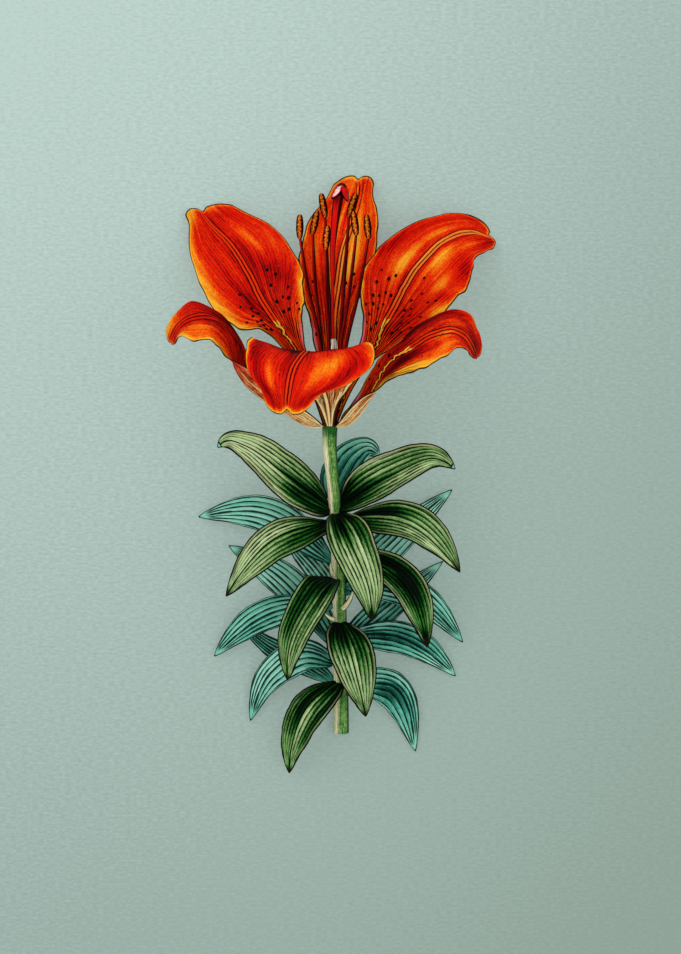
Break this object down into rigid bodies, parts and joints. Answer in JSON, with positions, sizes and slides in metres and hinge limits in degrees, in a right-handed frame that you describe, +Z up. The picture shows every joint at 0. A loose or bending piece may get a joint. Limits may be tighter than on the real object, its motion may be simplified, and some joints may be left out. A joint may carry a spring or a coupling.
{
  "type": "tiger lily",
  "caption": "Cut stem of orange lily with an open spotted flower, stamens and pistil and whorled lance-shaped leaves, lying on its back.",
  "frame": {"origin": "middle of the bounding box, on the surface that the cut stem lies on", "axes": "+Y from the stem's cut end towards the flower, +X to the right seen from above, +Z up from the surface"},
  "size_m": [0.1252, 0.2286, 0.0913],
  "materials": {
    "stem": "satin",
    "leaf": "satin",
    "tepal": "satin",
    "ovary": "satin",
    "style": "satin",
    "stigma": "satin",
    "filament": "satin",
    "anther": "matte"
  },
  "bodies": {
    "root": {"anther_1": "anther", "anther_2": "anther", "anther_3": "anther", "anther_4": "anther", "anther_5": "anther", "anther_6": "anther", "anther_7": "anther", "filament_1": "filament", "filament_2": "filament", "filament_3": "filament", "filament_4": "filament", "filament_5": "filament", "filament_6": "filament", "filament_7": "filament", "leaf_behind_left": "leaf", "leaf_behind_lower_left": "leaf", "leaf_behind_lower_right": "leaf", "leaf_behind_lowest_left": "leaf", "leaf_behind_lowest_right": "leaf", "leaf_behind_middle_left": "leaf", "leaf_behind_middle_right": "leaf", "leaf_behind_right": "leaf", "leaf_behind_short_left": "leaf", "leaf_behind_upper_left": "leaf", "leaf_behind_upper_right": "leaf", "leaf_lower_front": "leaf", "leaf_lowest_left": "leaf", "leaf_middle_left": "leaf", "leaf_middle_right": "leaf", "leaf_top_behind": "leaf", "leaf_top_left": "leaf", "leaf_top_right": "leaf", "leaf_upper_front": "leaf", "leaf_upper_left": "leaf", "leaf_upper_right": "leaf", "ovary": "ovary", "stem": "stem", "stigma": "stigma", "style": "style", "tepal_inner_front": "tepal", "tepal_inner_left": "tepal", "tepal_inner_right": "tepal", "tepal_outer_back": "tepal", "tepal_outer_left": "tepal", "tepal_outer_right": "tepal"}
  },
  "joints": []
}
